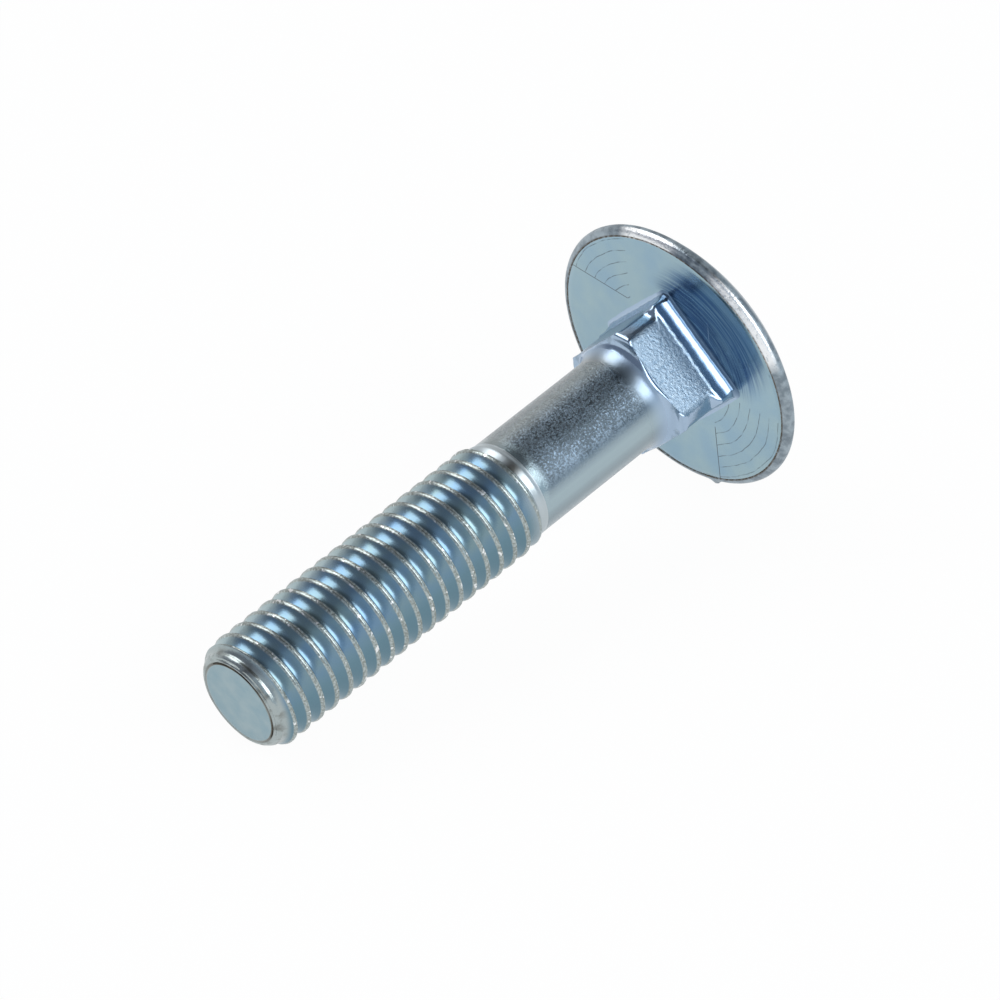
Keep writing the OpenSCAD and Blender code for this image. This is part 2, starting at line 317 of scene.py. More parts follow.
def die_polished_zinc():
    """Zinc plated bearing face: the polished die leaves a near mirror, with the die's turning marks."""
    material, tree, space = new_material("zinc_plated_bearing_face")
    place, radius, x, y = space["Place"], space["Radius"], space["X"], space["Y"]
    cloud = add(tree, "ShaderNodeTexNoise", {"Vector": place, "Scale": 0.35, "Detail": 3.0})
    fleck = add(tree, "ShaderNodeTexNoise", {"Vector": place, "Scale": 1.6, "Detail": 2.0})

    # Two straight joints between the die's blocks, out to the rim: the first crosses x = -3.45
    # at y = 3.64 and leans a little, and the second runs along y = -3.28
    slope = 0.0936
    first_x = add(tree, "ShaderNodeMath", {0: y, 1: slope, 2: 3.45 - slope * 3.64},
                  operation="MULTIPLY_ADD")
    past_first = add(tree, "ShaderNodeMath", {0: x, 1: first_x}, operation="ADD")
    past_second = add(tree, "ShaderNodeMath", {0: y, 1: 3.28}, operation="ADD")
    joints = []
    for past, out, start in ((past_first, y, 3.6), (past_second, x, 4.2)):
        near = add(tree, "ShaderNodeMapRange", {0: off(tree, past, 0.0), 1: 0.05, 2: 0.015},
                   interpolation_type="SMOOTHSTEP")
        reached = add(tree, "ShaderNodeMapRange", {0: out, 1: start, 2: start + 0.1})
        joints.append(add(tree, "ShaderNodeMath", {0: near, 1: reached}, operation="MULTIPLY"))
    joint = add(tree, "ShaderNodeMath", {0: joints[0], 1: joints[1]}, operation="MAXIMUM")

    # Turning rings, one of them 6.73 mm from the axis, waver a little and break up
    ring_step, ring_r = 0.84, 6.73
    bend = add(tree, "ShaderNodeMapRange", {0: cloud, 3: -0.25, 4: 0.25})
    ring_place = add(tree, "ShaderNodeMath",
                     {0: add(tree, "ShaderNodeMath", {0: radius, 1: 10 * ring_step - ring_r},
                             operation="ADD"), 1: bend}, operation="ADD")
    off_ring = add(tree, "ShaderNodeMath", {0: ring_place, 1: ring_step / 2}, operation="PINGPONG")
    ring = add(tree, "ShaderNodeMapRange", {0: off_ring, 1: 0.055, 2: 0.01},
               interpolation_type="SMOOTHSTEP")
    broken = add(tree, "ShaderNodeMapRange", {0: fleck, 1: 0.35, 2: 0.55, 3: 0.25, 4: 1.0})
    # They show in the corner blocks, up to the joints, and in one short row of ticks
    blocks = []
    for limits in (((past_first, 0.0, -1), (y, 3.4, 1)), ((past_second, 0.0, -1), (x, 0.8, 1)),
                   ((off(tree, x, -3.0), 0.14, -1), (y, -6.0, -1))):
        sides = [add(tree, "ShaderNodeMapRange", {0: value, 1: edge - 0.02 * way, 2: edge + 0.04 * way})
                 for value, edge, way in limits]
        blocks.append(add(tree, "ShaderNodeMath", {0: sides[0], 1: sides[1]}, operation="MULTIPLY"))
    block = blocks[0]
    for other in blocks[1:]:
        block = add(tree, "ShaderNodeMath", {0: block, 1: other}, operation="MAXIMUM")
    rings = ring
    for share in (broken, block, 0.7):
        rings = add(tree, "ShaderNodeMath", {0: rings, 1: share}, operation="MULTIPLY")
    mark = add(tree, "ShaderNodeMath", {0: joint, 1: rings}, operation="MAXIMUM")

    # Fine polishing streaks run round the axis
    round_axis = add(tree, "ShaderNodeVectorMath",
                     {0: add(tree, "ShaderNodeCombineXYZ", {0: x, 1: y})}, operation="NORMALIZE")
    outwards = add(tree, "ShaderNodeMath", {0: radius, 1: 5.0}, operation="MULTIPLY")
    streak_place = add(tree, "ShaderNodeVectorMath",
                       {0: round_axis, 1: add(tree, "ShaderNodeCombineXYZ", {2: outwards})},
                       operation="ADD")
    streak_and_painted_shade = add(tree, "ShaderNodeTexNoise", {"Vector": streak_place, "Scale": 1.3, "Detail": 3.0})
    relief = add(tree, "ShaderNodeMath", {0: mark, 1: -1.0, 2: streak_and_painted_shade}, operation="MULTIPLY_ADD")
    # On one side of the neck the face is darker and bluer between the streaks: a painted reflection of the
    # shaded neck
    painted_shade = towards(tree, place, PAINTED_SHADE_SIDE, {1: 3.4, 2: 4.6}, interpolation_type="SMOOTHSTEP")
    sideways = add(tree, "ShaderNodeVectorMath", {0: place, 1: (0.669, -0.743, 0.0)},
                   operation="DOT_PRODUCT")
    width = add(tree, "ShaderNodeMapRange", {0: off(tree, sideways, 0.0), 1: 5.6, 2: 3.6},
                interpolation_type="SMOOTHSTEP")
    outward = add(tree, "ShaderNodeMapRange", {0: radius, 1: 9.9, 2: 7.5},
                  interpolation_type="SMOOTHSTEP")
    streaky = add(tree, "ShaderNodeMapRange", {0: streak_and_painted_shade, 1: 0.4, 2: 0.6, 3: 1.0, 4: 0.35})
    for share in (width, outward, streaky):
        painted_shade = add(tree, "ShaderNodeMath", {0: painted_shade, 1: share}, operation="MULTIPLY")
    # One bright scratch, two millimetres long
    line = add(tree, "ShaderNodeMapRange", {0: off(tree, y, -3.53), 1: 0.045, 2: 0.01})
    reach = add(tree, "ShaderNodeMapRange", {0: off(tree, x, -3.95), 1: 1.05, 2: 0.2, 4: 0.75})
    scratch = add(tree, "ShaderNodeMath", {0: line, 1: reach}, operation="MULTIPLY")
    # The face's own tone, then the painted dark reflection beside the neck, the dark joints and rings, and
    # the bright scratch
    colour = add(tree, "ShaderNodeMix",
                 {0: add(tree, "ShaderNodeMapRange", {0: cloud, 1: 0.35, 2: 0.65}),
                  6: srgb("#94B1C2"), 7: srgb("#A1BAC2")}, data_type="RGBA")
    for share, paint in ((painted_shade, "#507194"), (mark, "#59666D"), (scratch, "#D5DFE6")):
        colour = add(tree, "ShaderNodeMix", {0: share, 6: colour, 7: srgb(paint)}, data_type="RGBA")
    coat(tree, colour, add(tree, "ShaderNodeMapRange", {0: cloud, 1: 0.3, 2: 0.7, 3: 0.17, 4: 0.24}),
         add(tree, "ShaderNodeBump", {"Strength": 0.35, "Distance": 0.015 * MM, "Height": relief}))
    return material


def forged_zinc_head():
    """Zinc plated forged head and rim: smooth, with darker patches where scale was pressed in."""
    material, tree, space = new_material("zinc_plated_forged_head")
    place, along, radius = space["Place"], space["Along"], space["Radius"]
    cloud = add(tree, "ShaderNodeTexNoise",
                {"Vector": place, "Scale": 1.1, "Detail": 4.0, "Roughness": 0.6})
    grain = add(tree, "ShaderNodeTexNoise", {"Vector": place, "Scale": 4.0, "Detail": 3.0})
    # A brown seam runs where the die's edge met the rim
    stain = add(tree, "ShaderNodeMapRange", {0: off(tree, radius, FLAT_R - 0.02), 1: 0.12, 2: 0.03})
    low = add(tree, "ShaderNodeMapRange", {0: along, 1: LENGTH + 0.2, 2: LENGTH + 0.1})
    patchy = add(tree, "ShaderNodeMapRange", {0: grain, 1: 0.35, 2: 0.55, 3: 0.35, 4: 1.0})
    for share in (low, patchy):
        stain = add(tree, "ShaderNodeMath", {0: stain, 1: share}, operation="MULTIPLY")
    # Outside the seam, on the bevel that the die's edge rubbed, a broken highlight is painted near white over
    # two lengths of the rim
    rubbed = add(tree, "ShaderNodeMapRange", {0: along, 1: LENGTH + 0.46, 2: LENGTH + 0.38})
    ragged = add(tree, "ShaderNodeMapRange", {0: grain, 1: 0.36, 2: 0.42, 3: 0.5})
    lengths = []
    for middle, half in ((172, 13), (226, 21)):
        turn = add(tree, "ShaderNodeMath", {0: space["Angle"], 1: math.radians(middle)},
                   operation="SUBTRACT")
        turn = add(tree, "ShaderNodeMath", {0: turn, 1: math.pi, 2: -math.pi}, operation="WRAP")
        lengths.append(add(tree, "ShaderNodeMapRange",
                           {0: off(tree, turn, 0.0), 1: math.radians(half + 3),
                            2: math.radians(half - 3)}))
    painted_highlight = add(tree, "ShaderNodeMath", {0: lengths[0], 1: lengths[1]}, operation="MAXIMUM")
    for share in (rubbed, ragged):
        painted_highlight = add(tree, "ShaderNodeMath", {0: painted_highlight, 1: share}, operation="MULTIPLY")
    colour = add(tree, "ShaderNodeMix",
                 {0: add(tree, "ShaderNodeMapRange", {0: cloud, 1: 0.4, 2: 0.58}),
                  6: srgb("#7E8A93"), 7: srgb("#A3B0B8")}, data_type="RGBA")
    for share, paint in ((painted_highlight, "#F8FAFB"), (stain, "#5B5348")):
        colour = add(tree, "ShaderNodeMix", {0: share, 6: colour, 7: srgb(paint)}, data_type="RGBA")
    # The round of the rim outside the bevel is dull
    skin = add(tree, "ShaderNodeMapRange", {0: cloud, 1: 0.3, 2: 0.7, 3: 0.18, 4: 0.3})
    outer = add(tree, "ShaderNodeMapRange", {0: radius, 1: FLAT_R - 0.2, 2: FLAT_R + 0.1})
    duller = add(tree, "ShaderNodeMapRange", {0: rubbed, 3: 0.24, 4: 0.08})
    rough = add(tree, "ShaderNodeMath", {0: outer, 1: duller, 2: skin}, operation="MULTIPLY_ADD")
    coat(tree, colour, rough,
         add(tree, "ShaderNodeBump", {"Strength": 0.7, "Distance": 0.05 * MM, "Height": grain}))
    return material


def sheared_zinc_end():
    """Zinc plated sheared end: a flat, slightly dull face with a faint grain."""
    material, tree, space = new_material("zinc_plated_end_face")
    cloud = add(tree, "ShaderNodeTexNoise", {"Vector": space["Place"], "Scale": 0.8, "Detail": 3.0})
    grain = add(tree, "ShaderNodeTexNoise", {"Vector": space["Place"], "Scale": 5.0, "Detail": 2.0})
    colour = add(tree, "ShaderNodeMix",
                 {0: add(tree, "ShaderNodeMapRange", {0: cloud, 1: 0.35, 2: 0.65}),
                  6: srgb("#8DA8B2"), 7: srgb("#9DB2B8")}, data_type="RGBA")
    coat(tree, colour, 0.3,
         add(tree, "ShaderNodeBump", {"Strength": 0.25, "Distance": 0.02 * MM, "Height": grain}))
    return material


finishes = [rolled_zinc_thread(), sheared_zinc_end(), drawn_zinc_shank(), forged_zinc_neck(),
            die_polished_zinc(), forged_zinc_head()]
THREAD, END, SHANK, NECK, BEARING, HEAD = range(6)


# ---- The thread, by Geometry Nodes ----

def thread_tree():
    """A strip of mesh wound up the bolt: its rows cross one pitch, and its steps follow the helix."""
    tree = bpy.data.node_groups.new("rolled_thread", "GeometryNodeTree")
    sizes = {"Pitch": PITCH, "Point Length": POINT_LEN, "Thread End": THREAD_END, "Lip Radius": LIP_R,
             "Root Radius": ROOT_R, "Crest Radius": CREST_R, "Shank Radius": SHANK_R,
             "Lip Length": LIP_LEN, "Runout Length": RUNOUT_LEN, "Start Angle": START_ANGLE,
             "Crest Share": 0.19, "Crest Place": CREST_PLACE, "Root Roundness": 0.85,
             "Flank Steepness": 1.55, "Growth": 1.8, "Crest Rows": 0.09, "Seam Depth": 0.035,
             "Burr": 0.035, "Weld Distance": 0.0005}
    counts = {"Steps Per Turn": THREAD_STEPS, "Rows": THREAD_ROWS, "Seed": 5}
    for name, value in sizes.items():
        tree.interface.new_socket(name=name, in_out="INPUT", socket_type="NodeSocketFloat")
    for name in counts:
        tree.interface.new_socket(name=name, in_out="INPUT", socket_type="NodeSocketInt")
    tree.interface.new_socket(name="Finish", in_out="INPUT", socket_type="NodeSocketMaterial")
    tree.interface.new_socket(name="Geometry", in_out="OUTPUT", socket_type="NodeSocketGeometry")
    size = add(tree, "NodeGroupInput").outputs

    # Turns along the strip: one more than the helix has, as the ridge starts and ends over a turn
    run = add(tree, "ShaderNodeMath", {0: size["Thread End"], 1: size["Point Length"]},
              operation="SUBTRACT")
    pitches = add(tree, "ShaderNodeMath", {0: run, 1: size["Pitch"]}, operation="DIVIDE")
    turns = add(tree, "ShaderNodeMath", {0: pitches, 1: 1.0}, operation="ADD")
    steps = add(tree, "ShaderNodeMath", {0: turns, 1: size["Steps Per Turn"]}, operation="MULTIPLY")
    # The count is cut to a whole number, so a little more than one is added
    grid = add(tree, "GeometryNodeMeshGrid",
               {"Size X": 1.0, "Size Y": 1.0,
                "Vertices X": add(tree, "ShaderNodeMath", {0: steps, 1: 1.0001}, operation="ADD"),
                "Vertices Y": add(tree, "ShaderNodeMath", {0: size["Rows"], 1: 1.0}, operation="ADD")})
    cell = add(tree, "ShaderNodeSeparateXYZ", {0: add(tree, "GeometryNodeInputPosition")})
    turn = add(tree, "ShaderNodeMath",
               {0: add(tree, "ShaderNodeMath", {0: cell.outputs[0], 1: 0.5}, operation="ADD"), 1: turns},
               operation="MULTIPLY")

    # Share of the pitch, with the rows drawn together at the crest
    even = add(tree, "ShaderNodeMath", {0: cell.outputs[1], 1: 0.5}, operation="ADD")
    wave = add(tree, "ShaderNodeMath",
               {0: add(tree, "ShaderNodeMath", {0: even, 1: 2 * math.pi}, operation="MULTIPLY")},
               operation="SINE")
    centred = add(tree, "ShaderNodeMath", {0: wave, 1: size["Crest Rows"], 2: even},
                  operation="MULTIPLY_ADD")
    lower = add(tree, "ShaderNodeMapRange", {0: centred, 1: 0.0, 2: 0.5, 4: size["Crest Place"]})
    upper = add(tree, "ShaderNodeMapRange",
                {0: centred, 1: 0.5, 2: 1.0, 3: 0.0,
                 4: add(tree, "ShaderNodeMath", {0: 1.0, 1: size["Crest Place"]}, operation="SUBTRACT")})
    share = add(tree, "ShaderNodeMath", {0: lower, 1: upper}, operation="ADD")

    # Height along the axis
    below = add(tree, "ShaderNodeMath",
                {0: add(tree, "ShaderNodeMath", {0: turn, 1: 1.0}, operation="SUBTRACT"), 1: 0.0},
                operation="MAXIMUM")
    above = add(tree, "ShaderNodeMath", {0: turn, 1: pitches}, operation="MINIMUM")
    span = add(tree, "ShaderNodeMath", {0: above, 1: below}, operation="SUBTRACT")
    climbed = add(tree, "ShaderNodeMath", {0: span, 1: share, 2: below}, operation="MULTIPLY_ADD")
    along = add(tree, "ShaderNodeMath", {0: climbed, 1: size["Pitch"], 2: size["Point Length"]},
                operation="MULTIPLY_ADD")

    # Root and crest radii, from the lip at the point to the fade into the shank
    lip_end = add(tree, "ShaderNodeMath", {0: size["Point Length"], 1: size["Lip Length"]}, operation="ADD")
    past_lip = add(tree, "ShaderNodeMapRange", {0: along, 1: size["Point Length"], 2: lip_end},
                   interpolation_type="SMOOTHSTEP")
    fade_start = add(tree, "ShaderNodeMath", {0: size["Thread End"], 1: size["Runout Length"]},
                     operation="SUBTRACT")
    fade = add(tree, "ShaderNodeMapRange", {0: along, 1: fade_start, 2: size["Thread End"]},
               interpolation_type="SMOOTHSTEP")
    root = add(tree, "ShaderNodeMix",
               {0: fade, 3: size["Shank Radius"],
                2: add(tree, "ShaderNodeMix", {0: past_lip, 2: size["Lip Radius"], 3: size["Root Radius"]})})
    crest = add(tree, "ShaderNodeMix", {0: fade, 2: size["Crest Radius"], 3: size["Shank Radius"]})
    depth = add(tree, "ShaderNodeMath",
                {0: add(tree, "ShaderNodeMath", {0: crest, 1: root}, operation="SUBTRACT"), 1: 0.0},
                operation="MAXIMUM")

    # The ridge's profile: a flat crest with the seam that rolling leaves, flanks, and a round root
    left = add(tree, "ShaderNodeMath", {0: turns, 1: turn}, operation="SUBTRACT")
    growth = add(tree, "ShaderNodeMath",
                 {0: add(tree, "ShaderNodeMath",
                         {0: add(tree, "ShaderNodeMath", {0: turn, 1: left}, operation="MINIMUM"),
                          1: size["Growth"]}, operation="MULTIPLY"), 1: 1.0}, operation="MINIMUM")
    off_crest = add(tree, "ShaderNodeMath", {0: off(tree, centred, 0.5), 1: 2.0}, operation="MULTIPLY")
    flank = add(tree, "ShaderNodeMapRange", {0: off_crest, 1: 1.0, 2: size["Crest Share"]})
    # The root is a wide round hollow: the flanks only stand steep beside the crest
    steep = add(tree, "ShaderNodeMath", {0: flank, 1: size["Flank Steepness"]}, operation="POWER")
    from_side = add(tree, "ShaderNodeMath", {0: 1.0, 1: steep}, operation="SUBTRACT")
    hollow = add(tree, "ShaderNodeMath", {0: from_side, 1: size["Root Roundness"]}, operation="POWER")
    rise = add(tree, "ShaderNodeMath", {0: 1.0, 1: hollow}, operation="SUBTRACT")
    # The crest is two rounded lips with the seam between them
    across = add(tree, "ShaderNodeMapRange", {0: off_crest, 1: 0.0, 2: size["Crest Share"], 4: math.pi})
    lips = add(tree, "ShaderNodeMath", {0: across}, operation="COSINE")
    seam = add(tree, "ShaderNodeMath",
               {0: add(tree, "ShaderNodeMath", {0: lips, 1: lips}, operation="MULTIPLY"),
                1: size["Seam Depth"]}, operation="MULTIPLY")

    # Burrs on the crest, from a pattern that is fixed in space, so that neighbouring turns meet
    start = add(tree, "ShaderNodeMath", {0: size["Start Angle"]}, operation="RADIANS")
    heading = add(tree, "ShaderNodeMath", {0: turn, 1: 2 * math.pi, 2: start}, operation="MULTIPLY_ADD")
    cosine = add(tree, "ShaderNodeMath", {0: heading}, operation="COSINE")
    sine = add(tree, "ShaderNodeMath", {0: heading}, operation="SINE")
    spot = add(tree, "ShaderNodeCombineXYZ",
               {**{i: add(tree, "ShaderNodeMath", {0: value, 1: size["Crest Radius"]},
                          operation="MULTIPLY") for i, value in enumerate((cosine, sine))}, 2: along})
    noise = add(tree, "ShaderNodeTexNoise",
                {"Vector": spot, "W": size["Seed"], "Scale": 3.2, "Detail": 3.0}, noise_dimensions="4D")
    crest_only = add(tree, "ShaderNodeMath", {0: rise, 1: 5.0}, operation="POWER")
    tear = add(tree, "ShaderNodeMath",
               {0: add(tree, "ShaderNodeMapRange", {0: noise, 1: 0.2, 2: 0.8, 3: -1.0, 4: 0.6}),
                1: size["Burr"]}, operation="MULTIPLY")
    torn = add(tree, "ShaderNodeMath",
               {0: crest_only, 1: add(tree, "ShaderNodeMath", {0: tear, 1: seam}, operation="SUBTRACT")},
               operation="MULTIPLY")
    # Depth of this place as a share of the full thread, so that the seam fades where the thread does
    whole = add(tree, "ShaderNodeMath", {0: size["Crest Radius"], 1: size["Root Radius"]},
                operation="SUBTRACT")
    fullness = add(tree, "ShaderNodeMath",
                   {0: add(tree, "ShaderNodeMath", {0: depth, 1: whole}, operation="DIVIDE"), 1: growth},
                   operation="MULTIPLY")
    ridge = add(tree, "ShaderNodeMath",
                {0: add(tree, "ShaderNodeMath", {0: rise, 1: whole}, operation="MULTIPLY"), 1: torn},
                operation="ADD")
    out = add(tree, "ShaderNodeMath", {0: ridge, 1: fullness, 2: root}, operation="MULTIPLY_ADD")
    wound = add(tree, "ShaderNodeCombineXYZ",
                {**{i: add(tree, "ShaderNodeMath", {0: value, 1: out}, operation="MULTIPLY")
                    for i, value in enumerate((cosine, sine))}, 2: along})
    strip = add(tree, "GeometryNodeSetPosition", {"Geometry": grid.outputs["Mesh"], "Position": wound})
    joined = add(tree, "GeometryNodeMergeByDistance", {"Geometry": strip, "Distance": size["Weld Distance"]})
    real = add(tree, "GeometryNodeRealizeInstances", {"Geometry": joined})
    coated = add(tree, "GeometryNodeSetMaterial", {"Geometry": real, "Material": size["Finish"]})
    add(tree, "NodeGroupOutput", {"Geometry": coated})
    return tree, {**sizes, **counts, "Finish": finishes[THREAD]}


def grown_mesh(name, tree, values):
    """The plain mesh that a Geometry Nodes tree makes with these values."""
    carrier = bpy.data.objects.new(name, bpy.data.meshes.new(name))
    bpy.context.scene.collection.objects.link(carrier)
    modifier = carrier.modifiers.new("grow", "NODES")
    modifier.node_group = tree
    for item in tree.interface.items_tree:
        if item.item_type == "SOCKET" and item.in_out == "INPUT":
            modifier[item.identifier] = values[item.name]
    evaluated = carrier.evaluated_get(bpy.context.evaluated_depsgraph_get())
    mesh = bpy.data.meshes.new_from_object(evaluated)
    carrier.modifiers.remove(modifier)
    bpy.data.objects.remove(carrier)
    return mesh


# ---- The turned and forged forms: rows of points round the axis ----

def ease(t):
    """A smooth step from 0 to 1."""
    t = np.clip(t, 0, 1)
    return t * t * (3 - 2 * t)


def soft_min(a, b, k):
    """The smaller of two lengths, rounded where they are within k of each other."""
    h = np.maximum(k - np.abs(a - b), 0) / k
    return np.minimum(a, b) - h * h * k / 4


def waver(turns, waves, seed):
    """A seeded, even wobble round the axis, about -1 to 1, from a few whole waves a turn."""
    rng = np.random.default_rng(seed)
    waved = [rng.uniform(0.5, 1) * np.cos(n * turns + rng.uniform(0, 2 * math.pi)) for n in waves]
    return sum(waved) / len(waves)


def row_mesh(name, turns, rows, first_pole=None, last_pole=None):
    """A mesh of rows (radius, height, finish) round the axis; a pole (height, finish) closes an end."""
    points, faces, picks = [], [], []
    count = len(turns)
    for r, z, finish in rows:
        r, z = np.broadcast_to(r, turns.shape), np.broadcast_to(z, turns.shape)
        points += list(zip(r * np.cos(turns), r * np.sin(turns), z))
    columns = [(j, (j + 1) % count) for j in range(count)]
    for i in range(len(rows) - 1):
        a, b = i * count, (i + 1) * count
        faces += [(a + j, a + k, b + k, b + j) for j, k in columns]
        picks += [rows[i + 1][2]] * count
    for pole, base in ((first_pole, 0), (last_pole, (len(rows) - 1) * count)):
        if pole:
            points.append((0.0, 0.0, pole[0]))
            fan = [(base + j, base + k, len(points) - 1) for j, k in columns]
            faces += [(k, j, top) for j, k, top in fan] if pole is first_pole else fan
            picks += [pole[1]] * count
    mesh = bpy.data.meshes.new(name)
    mesh.from_pydata(points, [], faces)
    mesh.polygons.foreach_set("material_index", picks)
    return mesh


def turned_rows(turns):
    """From the thread's end up the shank, over the neck and the bearing face, round the rim to the crown."""
    rows = [(SHANK_R, THREAD_END, SHANK)]
    out_of_round = 0.006 * waver(turns, (2, 3, 5), 3)
    rows += [(SHANK_R + out_of_round, z, SHANK) for z in np.linspace(THREAD_END, FLARE_Z, 14)[1:]]

    # The neck: a turned form whose flats are cut at the square's width
    angle = (turns - math.radians(45)) % (math.pi / 2)
    from_flat = np.minimum(angle, math.pi / 2 - angle)
    corner_round = 0.25
    profile = [(SHANK_R + FLARE_R * (1 - math.cos(b)), FLARE_Z + FLARE_LEN * math.sin(b))
               for b in np.radians(np.linspace(0, 90, 16)[1:])]
    profile += [(NECK_CORNER_R - corner_round * (1 - math.sin(b)),
                 NECK_Z + corner_round * (1 - math.cos(b))) for b in np.radians((0, 30, 60, 90))]
    profile += [(NECK_CORNER_R, NECK_Z + rise) for rise in (0.5, 0.9, 1.4, 1.9, 2.3)]
    profile += [(NECK_CORNER_R + (BAND_CORNER_R - NECK_CORNER_R) * float(ease(t)),
                 BAND_Z - FILL_LEN + FILL_LEN * t) for t in np.linspace(0, 1, 9)]
    profile += [(BAND_CORNER_R, z) for z in np.linspace(BAND_Z, LENGTH - NECK_FILLET_R, 8)[1:]]
    # An uneven step, with a small ridge on it, parts the flats from the band beside the head
    step_z = BAND_Z - 0.05 + 0.09 * waver(turns, (3, 5, 8, 13, 29, 47), 11)
    for r, z in profile:
        on_band = ease((z - step_z) / 0.1 + 0.5)
        half = NECK_W / 2 - 0.03 * (1 - on_band) + 0.018 * np.exp(-((z - step_z) / 0.07) ** 2)
        # The band leans out towards the head, as the die's draft leaves it
        half = half + 0.55 * np.clip(z - step_z - 0.5, 0, None) ** 2
        flat = half / np.cos(from_flat)
        # The foot of each flat has a sharp edge with a lip on it
        at_foot = z < NECK_Z + 0.3
        lip = 0.05 * np.exp(-((r - flat) / 0.1) ** 2) if at_foot else 0
        rounding = 0.1 if at_foot else 0.3 - 0.18 * on_band
        rows.append((soft_min(np.full_like(flat, r), flat, rounding) + lip, z,
                     SHANK if r < NECK_W / 2 - 0.05 else NECK))
    foot = rows[-1][0]
    rows += [(foot + NECK_FILLET_R * (1 - math.cos(b)), LENGTH - NECK_FILLET_R * (1 - math.sin(b)), NECK)
             for b in np.radians(np.linspace(0, 90, 8)[1:])]

    # The bearing face, the seam at its edge, the rounded rim and the dome
    inner = rows[-1][0]
    rows += [(inner + (FLAT_R - 0.08 - inner) * t, LENGTH, BEARING) for t in np.linspace(0, 1, 13)[1:]]
    rough_edge = waver(turns, (3, 7, 11, 17, 29), 21)
    rows.append((FLAT_R - 0.02 + 0.02 * rough_edge, LENGTH + 0.05, HEAD))
    rows.append((FLAT_R + 0.05 + 0.03 * rough_edge, LENGTH - 0.01, HEAD))
    # A small flash stands out where the die's second joint met the rim
    from_flash = (turns - math.radians(344.8) + math.pi) % (2 * math.pi) - math.pi
    flash = 0.3 * np.exp(-(from_flash / math.radians(1.8)) ** 2)
    # On the side that the die rubbed, the rim's arc is worn to a bevel
    worn = 0.9 * ease((np.cos(turns - math.radians(240)) - 0.3) / 0.4)
    for b in np.linspace(-72, math.degrees(DOME_EDGE), 14):
        out, up = math.cos(math.radians(b)), 1 + math.sin(math.radians(b))
        up = up + worn * max(0, 0.58 * out - up) * (b < 0)
        rim = RIM_R * out + 0.012 * rough_edge + flash * math.exp(-((b + 30) / 35) ** 2)
        rows.append((FLAT_R + rim, LENGTH + RIM_R * up, HEAD))
    rows += [(DOME_R * math.cos(a), DOME_Z + DOME_R * math.sin(a), HEAD)
             for a in np.linspace(DOME_EDGE, math.pi / 2, 24)[1:-1]]
    return rows


def point_rows(turns):
    """From the middle of the end face out over the sheared edge to the thread's first ring."""
    rough = waver(turns, (2, 3, 5, 9), 31)
    fine = waver(turns, (13, 19, 31), 32)
    # A torn groove parts the end face from the lip that rolling raised round it,
    # deep on the side that sheared last, with a shallower one outside it
    torn = ease((np.cos(turns - math.radians(220)) + 0.35) / 0.8)
    deep = 0.25 + torn * (1 + 0.5 * fine)
    rows = [(r, 0.0, END) for r in (0.8, 1.6, 2.3, 2.7, END_R - 0.12 + 0.05 * rough)]
    for out, wobble, height in ((-0.08, 0.05 * rough, 0.015),
                                (-0.03, 0.05 * rough, 0.02 + 0.08 * deep),
                                (0.02, 0.05 * rough, 0.02 + 0.05 * deep),
                                (0.08, 0.04 * rough, 0.02 + 0.01 * fine),
                                (0.15, 0.04 * rough, 0.035),
                                (0.21, 0.04 * rough, 0.05 + 0.07 * deep * torn),
                                (0.28, 0.03 * rough, 0.1 + 0.02 * fine),
                                (0.37, 0.03 * fine, 0.18),
                                (LIP_R - END_R - 0.04, 0.03 * fine, 0.29),
                                (LIP_R - END_R + 0.02, 0.03 * fine, 0.38),
                                (LIP_R - END_R, 0.0, POINT_LEN)):
        rows.append((END_R + out + wobble, height, THREAD))
    return rows


tree, values = thread_tree()
thread_mesh = grown_mesh("thread", tree, values)
thread_mesh.polygons.foreach_set("material_index", [THREAD] * len(thread_mesh.polygons))
shank_turns = np.radians(START_ANGLE + np.arange(COLUMNS) * 360 / COLUMNS)
point_turns = np.radians(START_ANGLE + np.arange(THREAD_STEPS) * 360 / THREAD_STEPS)
body_mesh = row_mesh("forged_body", shank_turns, turned_rows(shank_turns),
                     last_pole=(LENGTH + HEAD_H, HEAD))
point_mesh = row_mesh("sheared_point", point_turns, point_rows(point_turns), first_pole=(0.0, END))

# One skin: the thread's first and last rings are welded to the point and the shank
bolt_bm = bmesh.new()
for mesh in (thread_mesh, body_mesh, point_mesh):
    bolt_bm.from_mesh(mesh)
for height in (POINT_LEN, THREAD_END):
    ring = [v for v in bolt_bm.verts if abs(v.co.z - height) < 0.0006 and v.co.xy.length > 3.3]
    bmesh.ops.remove_doubles(bolt_bm, verts=ring, dist=0.002)
# The shank has three columns for each step of the thread: the extra points join the thread's edge
loose = [e for e in bolt_bm.edges if len(e.link_faces) == 1]
bmesh.ops.holes_fill(bolt_bm, edges=loose, sides=8)
bmesh.ops.recalc_face_normals(bolt_bm, faces=bolt_bm.faces)
bolt_mesh = bpy.data.meshes.new("carriage_bolt_finished")
for finish in finishes:
    bolt_mesh.materials.append(finish)
bolt_bm.to_mesh(bolt_mesh)
bolt_bm.free()
bolt_mesh.transform(to_world)
bolt_mesh.shade_smooth()
bolt_mesh.set_sharp_from_angle(angle=math.radians(75))
bolt = bpy.data.objects.new("carriage_bolt_finished", bolt_mesh)
bpy.context.scene.collection.objects.link(bolt)
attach(bolt, "root")
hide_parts("carriage_bolt")


# ---- Floor, world, lamps and camera ----

